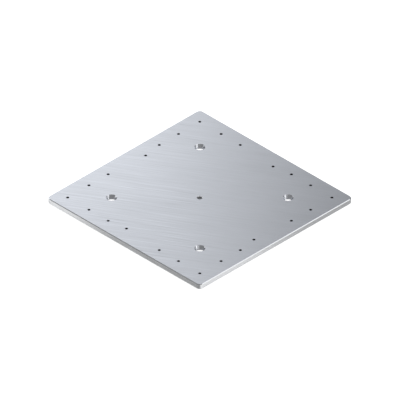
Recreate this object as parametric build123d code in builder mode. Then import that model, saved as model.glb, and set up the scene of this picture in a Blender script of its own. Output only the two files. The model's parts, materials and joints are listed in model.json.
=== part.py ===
"""Square steel cover plate with a bolt hole in each quarter, a ring of tapped screw holes and a tapped eye hole.

The plate lies flat: its underside is on Z = 0, its middle is on the Z axis, and its edges run along X and Y.
All sizes are in millimetres.
"""

import os

from build123d import *

# Blank
side_length = 360.0  # the plate is square
thickness = 10.0
corner_radius = 8.0
edge_chamfer = 1.0  # along the outline, on both faces

# Bolt holes, one in each quarter
bolt_hole_diameter = 18.0  # clears an M16 bolt
bolt_hole_inset = 76.5  # from both edges of its quarter
bolt_hole_chamfer = 0.2  # the mouths are only just broken

# Tapped screw holes, M5 x 0.8, in a row along each edge
screw_thread = 5.0
screw_pitch = 0.8
row_inset = 25.0  # from the edge to the row
corner_gap = 50.0  # from the corner hole to the second one in the row
row_gap = 45.0  # from the second hole to the third

# One more screw hole on each side, just off the middle
side_hole_offset = 22.5  # from the plate's centre line
side_hole_step = 5.5  # further in than the row

# Tapped hole in the middle for a lifting eye, M10 x 1.5
eye_thread = 10.0
eye_pitch = 1.5

mouth_clearance = 0.1  # the countersink of a tapped hole is this much wider than its thread, all round

# Distances of the holes from the plate's centre lines
bolt_hole_place = side_length / 2 - bolt_hole_inset
corner_hole_place = side_length / 2 - row_inset
second_hole_place = corner_hole_place - corner_gap
third_hole_place = second_hole_place - row_gap
side_hole_place = corner_hole_place - side_hole_step

# The screw holes of one quarter. The other three quarters are this one turned by 90, 180 and 270 degrees.
quarter_of_screw_holes = [
    (corner_hole_place, corner_hole_place),
    (corner_hole_place, second_hole_place),
    (corner_hole_place, third_hole_place),
    (second_hole_place, corner_hole_place),
    (third_hole_place, corner_hole_place),
    (side_hole_offset, side_hole_place),
]


def tap_drill_radius(thread, pitch):
    """Radius of the hole that is drilled before a metric thread is cut in it."""
    return (thread - pitch) / 2


def mouth_chamfer(pitch):
    """Chamfer that opens a tapped hole's mouth to just past the thread's outer diameter."""
    return pitch / 2 + mouth_clearance


with BuildPart() as cover_plate:
    # Blank, sawn square, with its corners rounded and the edges of both faces broken
    with BuildSketch():
        RectangleRounded(side_length, side_length, corner_radius)
    extrude(amount=thickness)
    outlines = cover_plate.faces().filter_by(Axis.Z).edges()
    chamfer(outlines, edge_chamfer)

    with Locations(Plane.XY.offset(thickness)):
        # Bolt holes, drilled through and chamfered at both ends
        with GridLocations(2 * bolt_hole_place, 2 * bolt_hole_place, 2, 2):
            Hole(bolt_hole_diameter / 2)
        mouths = cover_plate.edges(Select.LAST).filter_by(GeomType.CIRCLE)
        chamfer(mouths, bolt_hole_chamfer)

        # Screw holes, drilled through for tapping and countersunk at both ends
        with PolarLocations(0, 4):
            with Locations(*quarter_of_screw_holes):
                Hole(tap_drill_radius(screw_thread, screw_pitch))
        mouths = cover_plate.edges(Select.LAST).filter_by(GeomType.CIRCLE)
        chamfer(mouths, mouth_chamfer(screw_pitch))

        # Eye hole, likewise
        Hole(tap_drill_radius(eye_thread, eye_pitch))
        mouths = cover_plate.edges(Select.LAST).filter_by(GeomType.CIRCLE)
        chamfer(mouths, mouth_chamfer(eye_pitch))

cover_plate.part.label = "cover_plate"

os.makedirs("parts", exist_ok=True)
export_step(cover_plate.part, "parts/cover_plate.step")
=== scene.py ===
"""A square cover plate of brushed steel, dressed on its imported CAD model. Lengths are in metres."""

import json
import math
from typing import NamedTuple

import bmesh
import bpy
import numpy as np
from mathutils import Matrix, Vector


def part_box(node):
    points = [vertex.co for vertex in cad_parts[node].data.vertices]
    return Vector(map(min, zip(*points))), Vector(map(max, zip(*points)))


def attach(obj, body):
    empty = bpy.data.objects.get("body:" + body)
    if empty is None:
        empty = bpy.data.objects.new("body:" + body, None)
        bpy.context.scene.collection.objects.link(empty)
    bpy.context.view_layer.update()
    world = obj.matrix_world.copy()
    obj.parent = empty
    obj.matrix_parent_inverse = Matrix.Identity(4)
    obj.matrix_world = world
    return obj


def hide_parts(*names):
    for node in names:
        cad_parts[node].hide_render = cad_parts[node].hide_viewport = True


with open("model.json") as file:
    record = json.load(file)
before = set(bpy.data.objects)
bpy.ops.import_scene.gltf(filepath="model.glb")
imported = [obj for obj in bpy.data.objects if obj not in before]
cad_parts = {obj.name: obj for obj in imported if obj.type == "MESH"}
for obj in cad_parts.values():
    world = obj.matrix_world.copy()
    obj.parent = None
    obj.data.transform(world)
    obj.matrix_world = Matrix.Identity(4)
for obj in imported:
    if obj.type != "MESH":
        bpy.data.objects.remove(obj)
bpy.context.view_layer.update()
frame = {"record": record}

# ---------------------------------------------------------------------------------------------------
# Cover plate
# One piece of steel plate, sawn square, with its corners rounded, its edges broken and its faces
# brushed. The bolt holes are drilled, with their mouths only just broken. The screw holes and the eye
# hole are drilled, countersunk and tapped.
# ---------------------------------------------------------------------------------------------------

low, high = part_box("cover_plate")
HALF_SIDE = high.x
THICKNESS = high.z - low.z
CORNER_RADIUS = 0.008
EDGE_CHAMFER = 0.001
BOLT_HOLE_CHAMFER = 0.0002
SIDE_HOLE_OFFSET = 0.0225  # from the centre line to the screw hole just off the middle of each side
SCREW_PITCH = 0.0008
EYE_PITCH = 0.0015
MOUTH_CLEARANCE = 0.0001  # of a countersink round its thread
THREAD_START = 0.5  # of a turn, where a thread begins
CORNER_STEPS = 24
BOLT_HOLE_STEPS = 96
SCREW_HOLE_STEPS = 28
EYE_HOLE_STEPS = 48
WELD = 1e-7  # points that are closer than this are one

# The finishes, in the order of the piece's material slots
FACE, WALL, CHAMFER, BORE, SCREW_THREAD, EYE_THREAD = range(6)


class Surface(NamedTuple):
    """A grid that is one stretch of the plate's skin."""

    points: np.ndarray  # row by row
    faces: np.ndarray  # four point numbers each
    unrolled: np.ndarray  # at each corner of each face, the shares of the way round and up the grid
    finish: int  # between the chamfers at its two ends
    chamfer: float  # their height, or 0 where they have that finish too
    smooth: bool
    length: float  # the way round


def grid_faces(rows, columns, closed, seam_shift=0):
    """Faces of a grid of rows times columns points, and the shares of the way round and up at their corners.

    A closed grid's last column joins the first, seam_shift rows further on.
    """
    spans = columns if closed else columns - 1
    row, column = np.mgrid[: rows - 1, :spans]
    wraps = column == columns - 1
    after = np.where(wraps, 0, column + 1)
    near = np.minimum(row + wraps * seam_shift, rows - 1)
    far = np.minimum(near + 1, rows - 1)
    corners = [
        row * columns + column,
        near * columns + after,
        far * columns + after,
        (row + 1) * columns + column,
    ]
    steps = ((0, 0), (1, 0), (1, 1), (0, 1))
    unrolled = [np.stack([column + across, row + up], -1) / (spans, rows - 1) for across, up in steps]
    return np.stack(corners, -1).reshape(-1, 4), np.stack(unrolled, -2).reshape(-1, 4, 2)


def revolved(profile, centre, start, turn, steps, closed):
    """Profile points (r, z) turned about a vertical axis: (cx + r cos a, cy + r sin a, z), with a from start.

    Returns a surface's points, faces and unrolled corners, as tapped_bore does.
    """
    angle = start + turn * np.arange(steps + (not closed)) / steps
    r, z = np.array(profile).T
    x = centre[0] + np.outer(r, np.cos(angle))
    y = centre[1] + np.outer(r, np.sin(angle))
    points = np.stack([x, y, np.broadcast_to(z[:, None], x.shape)], -1)
    return points.reshape(-1, 3), *grid_faces(len(r), len(angle), closed)


def tapped_bore(centre, drill, pitch, steps):
    """A threaded hole through the plate, as a grid that follows the thread's helix.

    Row phase p and angle a give the height z = pitch (p + a / turn + start). The radius is the drill's on the
    thread's crest and half a pitch more in its root, with flanks at 60 degrees between them. It is nowhere
    less than the countersink's, which falls by 45 degrees from the mouth. Heights stop at the plate's faces.
    """
    depth = pitch / 2
    flank = math.tan(math.radians(30)) / 2  # along the axis, as a share of the pitch
    root = 1 / 8
    crest = 1 - root - 2 * flank
    corners = [0, crest, crest + flank / 2, crest + flank, 1 - flank, 1 - flank / 2]
    radii = drill + depth * np.array([0, 0, 0.5, 1, 1, 0.5])
    spare = 2  # turns past each face, which flatten into its mouth
    turns = int(THICKNESS / pitch) + 2 * spare
    phase = (np.arange(-spare, turns - spare)[:, None] + corners).ravel()
    share = np.arange(steps) / steps
    z = np.clip(pitch * (phase[:, None] + share + THREAD_START), 0, THICKNESS)
    mouth = drill + depth + MOUTH_CLEARANCE
    r = np.maximum(np.tile(radii, turns)[:, None], mouth - np.minimum(z, THICKNESS - z))
    x = centre[0] + r * np.cos(share * math.tau)
    y = centre[1] + r * np.sin(share * math.tau)
    return np.stack([x, y, z], -1).reshape(-1, 3), *grid_faces(len(phase), steps, True, len(corners))


def wall_profile(chamfer):
    """Points (inset, z) up a wall through the plate, whose edges are chamfered at both faces."""
    return [(chamfer, 0), (0, chamfer), (0, THICKNESS - chamfer), (chamfer, THICKNESS)]


def outline_surfaces():
    """The plate's outline: for each quarter turn, a rounded corner and a straight wall.

    The first wall's points are (half side - inset, along, z), and the others are it turned by their quarters.
    """
    across = HALF_SIDE - CORNER_RADIUS
    ends = (-across, across)
    profile = wall_profile(EDGE_CHAMFER)
    rounded = [(CORNER_RADIUS - inset, z) for inset, z in profile]
    surfaces = []
    for quarter in range(4):
        start = quarter * math.pi / 2
        c, s = round(math.cos(start)), round(math.sin(start))
        centre = (across * (c - s), across * (s + c))
        corner = revolved(rounded, centre, start, math.pi / 2, CORNER_STEPS, False)
        surfaces.append(Surface(*corner, WALL, EDGE_CHAMFER, True, CORNER_RADIUS * math.pi / 2))
        wall = np.array([[(HALF_SIDE - inset, along, z) for along in ends] for inset, z in profile])
        turned = wall.reshape(-1, 3) @ np.array([[c, s, 0], [-s, c, 0], [0, 0, 1]])
        faces = grid_faces(len(profile), 2, False)
        surfaces.append(Surface(turned, *faces, WALL, EDGE_CHAMFER, False, 2 * across))
    return surfaces


def hole_places():
    """Centres of the bolt holes and of the screw holes, worked out from the mounts in the record."""
    bolt_places = []
    screw_places = []
    for mount in frame["record"]["mounts"]:
        size = mount["dims"]
        if "spacing_x_mm" in size:
            x, y = size["spacing_x_mm"] / 2000, size["spacing_y_mm"] / 2000
            places = bolt_places if mount["name"] == "bolt_holes" else screw_places
            places += [(x, y), (-x, y), (-x, -y), (x, -y)]
        elif "pcd_mm" in size:
            x, y = SIDE_HOLE_OFFSET, math.sqrt((size["pcd_mm"] / 2000) ** 2 - SIDE_HOLE_OFFSET**2)
            screw_places += [(x, y), (-y, x), (-x, -y), (y, -x)]
    return bolt_places, screw_places


def hole_radius(name):
    """Radius of the drill for the holes of a mount in the record."""
    size = next(mount["dims"] for mount in frame["record"]["mounts"] if mount["name"] == name)
    return size.get("hole_r_mm", size.get("r_mm")) / 1000


def hole_surfaces():
    """The bores of the bolt holes, and the threads of the screw holes and the eye hole."""
    bolt_places, screw_places = hole_places()
    bolt = hole_radius("bolt_holes")
    profile = [(bolt + inset, z) for inset, z in wall_profile(BOLT_HOLE_CHAMFER)]
    surfaces = []
    for place in bolt_places:
        bore = revolved(profile, place, 0, math.tau, BOLT_HOLE_STEPS, True)
        surfaces.append(Surface(*bore, BORE, BOLT_HOLE_CHAMFER, True, bolt * math.tau))
    screw = hole_radius("corner_screw_holes")
    for place in screw_places:
        thread = tapped_bore(place, screw, SCREW_PITCH, SCREW_HOLE_STEPS)
        surfaces.append(Surface(*thread, SCREW_THREAD, 0, True, screw * math.tau))
    eye = hole_radius("eye_hole")
    thread = tapped_bore((0, 0), eye, EYE_PITCH, EYE_HOLE_STEPS)
    surfaces.append(Surface(*thread, EYE_THREAD, EYE_PITCH / 2 + MOUTH_CLEARANCE, True, eye * math.tau))
    return surfaces


def weld_and_fill(mesh):
    """Joins the surfaces where their edges meet, and fills in the plate's two faces between their rims."""
    shell = bmesh.new()
    shell.from_mesh(mesh)
    bmesh.ops.remove_doubles(shell, verts=shell.verts, dist=WELD)
    bmesh.ops.dissolve_degenerate(shell, edges=shell.edges, dist=WELD)
    for height in (0, THICKNESS):
        rims = [e for e in shell.edges if e.is_boundary and all(abs(v.co.z - height) < WELD for v in e.verts)]
        bmesh.ops.triangle_fill(shell, edges=rims, use_beauty=True)
    bmesh.ops.recalc_face_normals(shell, faces=shell.faces)
    shell.to_mesh(mesh)
    shell.free()


# The map that the plate's finishes are baked to. The plate's two faces lie side by side in its upper half,
# and every other surface is unrolled into a strip of its own in the lower half, to the same scale lengthwise.
UNROLLED = "OFBake"
QUARTER = 0.25  # of the map, from its edges to the middle of a face
MAP_MARGIN = 0.004
STRIP_MARGIN = 0.1  # above and below a surface, as a share of its strip
MAP_SCALE = (QUARTER - MAP_MARGIN) / HALF_SIDE


def strip_places(surface, number, count):
    """Places on the map of a surface's corners: (u, v) = margin + share of the way round and up its strip."""
    span = (surface.length * MAP_SCALE, 1 - 2 * STRIP_MARGIN)
    in_strip = (MAP_MARGIN, STRIP_MARGIN) + surface.unrolled * span
    return (in_strip + (0, number)) * (1, 2 * QUARTER / count)


def lay_out_faces(mesh):
    """Places on the map of the plate's two faces: (u, v) = scale (x, y) + middle of that face."""
    corner_points = np.zeros(len(mesh.loops), np.int32)
    mesh.loops.foreach_get("vertex_index", corner_points)
    points = np.zeros(len(mesh.vertices) * 3, np.float32)
    mesh.vertices.foreach_get("co", points)
    x, y, z = points.reshape(-1, 3)[corner_points].T
    finish, corners = (np.zeros(len(mesh.polygons), np.int32) for _ in range(2))
    mesh.polygons.foreach_get("material_index", finish)
    mesh.polygons.foreach_get("loop_total", corners)
    map_places = np.zeros(len(mesh.loops) * 2, np.float32)
    mesh.uv_layers[UNROLLED].uv.foreach_get("vector", map_places)
    middle = np.where(z > THICKNESS / 2, QUARTER, 1 - QUARTER)
    flat_places = np.stack([x * MAP_SCALE + middle, y * MAP_SCALE + 1 - QUARTER], -1)
    is_face = np.repeat(finish == FACE, corners)[:, None]
    map_places = np.where(is_face, flat_places, map_places.reshape(-1, 2))
    mesh.uv_layers[UNROLLED].uv.foreach_set("vector", map_places.ravel().astype(np.float32))


def plate_mesh():
    """The whole plate, as one closed skin with a finish for each of its faces."""
    surfaces = outline_surfaces() + hole_surfaces()
    firsts = np.cumsum([0] + [len(surface.points) for surface in surfaces])
    points = np.concatenate([surface.points for surface in surfaces])
    faces = np.concatenate([surface.faces + first for surface, first in zip(surfaces, firsts)])
    strips = [strip_places(surface, number, len(surfaces)) for number, surface in enumerate(surfaces)]
    counts = [len(surface.faces) for surface in surfaces]
    finish = np.repeat([surface.finish for surface in surfaces], counts)
    chamfer = np.repeat([surface.chamfer for surface in surfaces], counts)
    smooth = np.repeat([surface.smooth for surface in surfaces], counts)
    height = points[faces, 2].mean(axis=1)
    finish[np.minimum(height, THICKNESS - height) < chamfer] = CHAMFER

    mesh = bpy.data.meshes.new("brushed_plate")
    mesh.from_pydata(points.tolist(), [], faces.tolist())
    mesh.polygons.foreach_set("material_index", finish.astype(np.int32))
    mesh.attributes.new("flat", "BOOLEAN", "FACE").data.foreach_set("value", ~smooth)
    strips = np.concatenate(strips).ravel().astype(np.float32)
    mesh.uv_layers.new(name=UNROLLED).uv.foreach_set("vector", strips)
    weld_and_fill(mesh)
    mesh.set_sharp_from_angle(angle=math.radians(30))
    flat = np.zeros(len(mesh.polygons), bool)
    mesh.attributes["flat"].data.foreach_get("value", flat)
    mesh.polygons.foreach_set("use_smooth", ~flat)
    mesh.attributes.remove(mesh.attributes["flat"])
    lay_out_faces(mesh)
    return mesh


plate = bpy.data.objects.new("brushed_plate", plate_mesh())
bpy.context.scene.collection.objects.link(plate)


class Shade:
    """A value or colour in a material. Arithmetic on values adds the Math nodes for it."""

    def __init__(self, tree, socket=None):
        self.tree = tree
        self.socket = socket

    def node(self, kind, settings, inputs, output=0):
        """Adds a node of that kind, with its settings first and then the values or links of its sockets."""
        made = self.tree.nodes.new(kind)
        for name, value in settings.items():
            setattr(made, name, value)
        for name, value in inputs.items():
            if isinstance(value, Shade):
                self.tree.links.new(value.socket, made.inputs[name])
            else:
                made.inputs[name].default_value = value
        return Shade(self.tree, made.outputs[output])

    def maths(self, operation, first, second):
        return self.node("ShaderNodeMath", {"operation": operation}, {0: first, 1: second})

    def __add__(self, other):
        return self.maths("ADD", self, other)

    def __radd__(self, other):
        return self.maths("ADD", other, self)

    def __sub__(self, other):
        return self.maths("SUBTRACT", self, other)

    def __rsub__(self, other):
        return self.maths("SUBTRACT", other, self)

    def __mul__(self, other):
        return self.maths("MULTIPLY", self, other)

    def __rmul__(self, other):
        return self.maths("MULTIPLY", other, self)

    def clamped(self):
        return self.node("ShaderNodeClamp", {}, {0: self})


class Marks(NamedTuple):
    """What a tool leaves on steel."""

    tint: Shade  # lightens or darkens the colour by that share
    rough: Shade
    slope: Shade  # leans the surface's normal by that much in the direction across the marks


def steel_finish(name, steel, across, pattern):
    """A steel material of that colour, with the pattern's marks laid square to the direction across."""
    finish = bpy.data.materials.new(name)
    finish.use_nodes = True
    tree = finish.node_tree
    shader = tree.nodes["Principled BSDF"]
    shader.inputs["Metallic"].default_value = 1
    shade = Shade(tree)
    marks = pattern(shade)
    colour = shade.node("ShaderNodeVectorMath", {"operation": "SCALE"}, {0: steel, "Scale": 1 + marks.tint})
    upright = shade.node("ShaderNodeNewGeometry", {}, {}, "Normal")
    lean = shade.node("ShaderNodeVectorMath", {"operation": "SCALE"}, {0: across, "Scale": marks.slope})
    leaning = shade.node("ShaderNodeVectorMath", {"operation": "ADD"}, {0: upright, 1: lean})
    normal = shade.node("ShaderNodeVectorMath", {"operation": "NORMALIZE"}, {0: leaning})
    tree.links.new(colour.socket, shader.inputs["Base Color"])
    tree.links.new(marks.rough.socket, shader.inputs["Roughness"])
    tree.links.new(normal.socket, shader.inputs["Normal"])
    return finish


def place_on_plate(shade):
    """Metres from the middle of the plate's underside."""
    return shade.node("ShaderNodeTexCoord", {}, {}, "Object")


def streaks(shade, angle, length, width, detail, offset=0.0):
    """Noise from -1 to 1 in streaks of that length and width, which lie at an angle from the X axis."""
    lie = {
        "Vector": place_on_plate(shade),
        "Location": (offset, offset, 0),
        "Rotation": (0, 0, angle),
        "Scale": (length, width, width),
    }
    along = shade.node("ShaderNodeMapping", {"vector_type": "TEXTURE"}, lie)
    grain = {"Vector": along, "Scale": 1.0, "Detail": detail, "Roughness": 0.6}
    return (shade.node("ShaderNodeTexNoise", {}, grain) - 0.5) * 2


def rings(shade, pitch, wander):
    """A wave from -1 to 1 that repeats with height once a pitch, as a drill's marks do, and wanders."""
    height = shade.node("ShaderNodeSeparateXYZ", {}, {0: place_on_plate(shade)}, "Z")
    drift = streaks(shade, angle=0, length=0.010, width=0.003, detail=1) * wander
    wave = (height * (1 / pitch) + drift) * math.tau
    return shade.node("ShaderNodeMath", {"operation": "SINE"}, {0: wave})


def cubed(value):
    """Keeps the sign, and lets only the strongest marks through."""
    return value * value * value


BRUSH_ANGLE = math.radians(31)  # of the brush strokes from the X axis
ACROSS_BRUSH = (-math.sin(BRUSH_ANGLE), math.cos(BRUSH_ANGLE), 0)
UPWARD = (0, 0, 1)
GLINT_CORNER = (-1, -1, 0)  # the way to the corner where the scratches get their strongest painted glints and shade
GLINT_RISE = 6.0  # per metre of x and y on the way there
SCRATCH_DEPTH = 0.55
WALL_LEAN = 0.42  # the upward slope that all the marks of a wall share
BORE_LEAN = 0.7  # likewise in a bore


def brushed(shade):
    """Long brush strokes: hairlines, broader bands, and real scratches, whose painted glints and shade grow
    towards one corner.
    """
    hairs = streaks(shade, BRUSH_ANGLE, length=0.030, width=0.0004, detail=3)
    bands = streaks(shade, BRUSH_ANGLE, length=0.100, width=0.0024, detail=2, offset=0.31)
    clouds = streaks(shade, BRUSH_ANGLE, length=0.200, width=0.020, detail=1, offset=0.77)
    towards = {0: place_on_plate(shade), 1: GLINT_CORNER}
    to_corner = shade.node("ShaderNodeVectorMath", {"operation": "DOT_PRODUCT"}, towards, "Value")
    # Painted glints and shade on the scratches: half strength in the middle of the plate, stronger towards
    # one corner, and more or less so from patch to patch
    painted_glint = (to_corner * GLINT_RISE + clouds * 0.8 + 0.5).clamped()
    long_cuts = cubed(streaks(shade, BRUSH_ANGLE + 0.02, length=0.110, width=0.0013, detail=0, offset=1.3))
    short_cuts = cubed(streaks(shade, BRUSH_ANGLE - 0.01, length=0.080, width=0.0015, detail=0, offset=2.1))
    scratches = long_cuts + short_cuts
    return Marks(
        tint=hairs * 0.10 + bands * 0.06 + clouds * 0.03 + scratches * painted_glint * SCRATCH_DEPTH,
        rough=0.36 + hairs * 0.06 + clouds * 0.04,
        slope=hairs * 0.05 + bands * 0.02,
    )


def milled(shade):
    """Walls milled along their length: fine lines one above the other."""
    lines = streaks(shade, angle=0, length=0.050, width=0.0003, detail=2)
    return Marks(tint=lines * 0.05, rough=0.3 + lines * 0.05, slope=lines * 0.3 + WALL_LEAN)


def chamfered(shade):
    """Bright fresh cuts, with hardly a mark on them."""
    lines = streaks(shade, angle=0, length=0.010, width=0.0002, detail=1)
    return Marks(tint=lines * 0.03, rough=0.15 + lines * 0.03, slope=lines * 0.02)


def drilled(shade):
    """Bores with the rings that a drill leaves."""
    marks = rings(shade, pitch=0.0004, wander=0.5)
    return Marks(tint=marks * 0.03, rough=0.15 + marks * 0.03, slope=marks * 0.12 + BORE_LEAN)


def tapped(shade):
    """Threads, with fine lines round them from the tap's teeth."""
    lines = streaks(shade, angle=0, length=0.050, width=0.0001, detail=1)
    return Marks(tint=lines * 0.05, rough=0.4 + lines * 0.05, slope=lines * 0.02)


# The screw holes' threads and countersinks are painted almost black, as painted shade for their deep, narrow
# recesses. The eye hole's thread is bare grey steel.
for material in (
    steel_finish("brushed_face", (0.58, 0.605, 0.655), ACROSS_BRUSH, brushed),
    steel_finish("milled_edge", (0.73, 0.74, 0.755), UPWARD, milled),
    steel_finish("cut_chamfer", (0.66, 0.675, 0.70), UPWARD, chamfered),
    steel_finish("drilled_bore", (0.67, 0.69, 0.73), UPWARD, drilled),
    # almost black: painted shade for the screw holes' recesses
    steel_finish("painted_shade_thread", (0.05, 0.051, 0.053), UPWARD, tapped),
    steel_finish("clean_thread", (0.48, 0.49, 0.51), UPWARD, tapped),
):
    plate.data.materials.append(material)
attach(plate, "root")
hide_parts("cover_plate")

# ---------------------------------------------------------------------------------------------------
# Floor
# A plain white floor just under the plate, painted matt. Seen from below it isn't there, so that the
# plate's underside shows.
# ---------------------------------------------------------------------------------------------------

FLOOR_SIDE = 40.0
FLOOR_GAP = 0.0002
FLOOR_WHITE = (0.8, 0.8, 0.8, 1)
FLOOR_GLOW = 0.75  # added where the camera looks straight at the floor
GLOW_IN_STEEL = 0.2  # the share of that glow that the steel reflects


def seen(shade, share_in_steel):
    """How much of a glow a ray meets: all of it straight or through glass, and that share in a reflection."""
    kinds = ("Camera", "Glossy", "Transmission")
    camera_ray, glossy_ray, glass_ray = (
        shade.node("ShaderNodeLightPath", {}, {}, f"Is {kind} Ray") for kind in kinds
    )
    return (camera_ray + glass_ray + glossy_ray * share_in_steel).clamped()


def floor_material():
    """Matt white paint with a glow, seen from above only."""
    floor_paint = bpy.data.materials.new("floor_paint")
    floor_paint.use_nodes = True
    tree = floor_paint.node_tree
    tree.nodes.clear()
    shade = Shade(tree)
    strength = FLOOR_GLOW * seen(shade, GLOW_IN_STEEL)
    matt = shade.node("ShaderNodeBsdfDiffuse", {}, {"Color": FLOOR_WHITE})
    glow = shade.node("ShaderNodeEmission", {}, {"Color": (1, 1, 1, 1), "Strength": strength})
    paint = shade.node("ShaderNodeAddShader", {}, {0: matt, 1: glow})
    nothing = shade.node("ShaderNodeBsdfTransparent", {}, {})
    from_below = shade.node("ShaderNodeNewGeometry", {}, {}, "Backfacing")
    either = shade.node("ShaderNodeMixShader", {}, {0: from_below, 1: paint, 2: nothing})
    output = tree.nodes.new("ShaderNodeOutputMaterial")
    tree.links.new(either.socket, output.inputs["Surface"])
    return floor_paint


reach = FLOOR_SIDE / 2
floor_corners = [(x * reach, y * reach, -FLOOR_GAP) for x, y in ((-1, -1), (1, -1), (1, 1), (-1, 1))]
floor_mesh = bpy.data.meshes.new("floor")
floor_mesh.from_pydata(floor_corners, [], [(0, 1, 2, 3)])
floor_mesh.materials.append(floor_material())
floor = bpy.data.objects.new("floor", floor_mesh)
bpy.context.scene.collection.objects.link(floor)

# ---------------------------------------------------------------------------------------------------
# Camera
# It looks down on the plate's near corner, from halfway between the front and the right-hand side, with
# no perspective.
# ---------------------------------------------------------------------------------------------------

AZIMUTH = math.radians(45)
ELEVATION = math.radians(35)
VIEW_WIDTH = 0.6636
STAND_OFF = 1.5
SIDE_STEP = 0.00034  # of the camera to its right, from the plate's middle

UP = Vector((0, 0, 1))
rightward = Vector((math.cos(AZIMUTH), math.sin(AZIMUTH), 0))
backward = UP.cross(rightward)
towards_camera = math.sin(ELEVATION) * UP - math.cos(ELEVATION) * backward
camera = bpy.data.objects.new("camera", bpy.data.cameras.new("camera"))
camera.data.type = "ORTHO"
camera.data.ortho_scale = VIEW_WIDTH
camera.location = Vector((0, 0, THICKNESS / 2)) + SIDE_STEP * rightward + STAND_OFF * towards_camera
camera.rotation_euler = towards_camera.to_track_quat("Z", "Y").to_euler()
bpy.context.scene.collection.objects.link(camera)
bpy.context.scene.camera = camera
bpy.context.scene.view_settings.view_transform = "Standard"

# ---------------------------------------------------------------------------------------------------
# Studio lights
# Seven softboxes. The two behind the plate shade its top from light on the left to darker on the right,
# the two above it fill that in, and the low ones light its edges. A faint even light comes from all round.
# ---------------------------------------------------------------------------------------------------

AMBIENT = 0.22
AMBIENT_IN_STEEL = 0.08  # the share of the white surroundings that the steel reflects


def softbox(name, turn, rise, distance, width, height, radiance):
    """A rectangular area light that faces the plate.

    Its direction is turned by some degrees to the right of straight behind the plate, and raised by some
    degrees from the floor.
    """
    turn, rise = math.radians(turn), math.radians(rise)
    level = math.cos(turn) * backward + math.sin(turn) * rightward
    outward = math.cos(rise) * level + math.sin(rise) * UP
    lamp = bpy.data.lights.new(name, "AREA")
    lamp.shape = "RECTANGLE"
    lamp.size, lamp.size_y = width, height
    lamp.energy = math.pi * width * height * radiance
    box = bpy.data.objects.new(name, lamp)
    box.location = distance * outward
    box.rotation_euler = outward.to_track_quat("Z", "Y").to_euler()
    box.visible_camera = False
    bpy.context.scene.collection.objects.link(box)


softbox("overhead", turn=0, rise=90, distance=1.3, width=1.2, height=1.2, radiance=0.7)
softbox("front_top", turn=180, rise=62, distance=1.2, width=1.0, height=0.5, radiance=0.4)
softbox("behind_left", turn=-37.2, rise=39.2, distance=1.0, width=1.2, height=1.11, radiance=0.615)
softbox("behind", turn=-20.3, rise=18.8, distance=1.0, width=1.2, height=0.64, radiance=0.605)
softbox("left", turn=-86, rise=9, distance=0.5, width=0.34, height=0.14, radiance=1.15)
softbox("right", turn=104, rise=40, distance=1.0, width=0.7, height=0.6, radiance=1.15)
softbox("front", turn=143, rise=12, distance=0.5, width=0.6, height=0.2, radiance=0.97)


def world_light():
    """An even white light, faint for the object and full white where the camera looks past the floor."""
    world = bpy.data.worlds.new("studio")
    world.use_nodes = True
    tree = world.node_tree
    strength = AMBIENT + (1 - AMBIENT) * seen(Shade(tree), AMBIENT_IN_STEEL)
    background = tree.nodes["Background"]
    background.inputs["Color"].default_value = (1, 1, 1, 1)
    tree.links.new(strength.socket, background.inputs["Strength"])
    return world


bpy.context.scene.world = world_light()
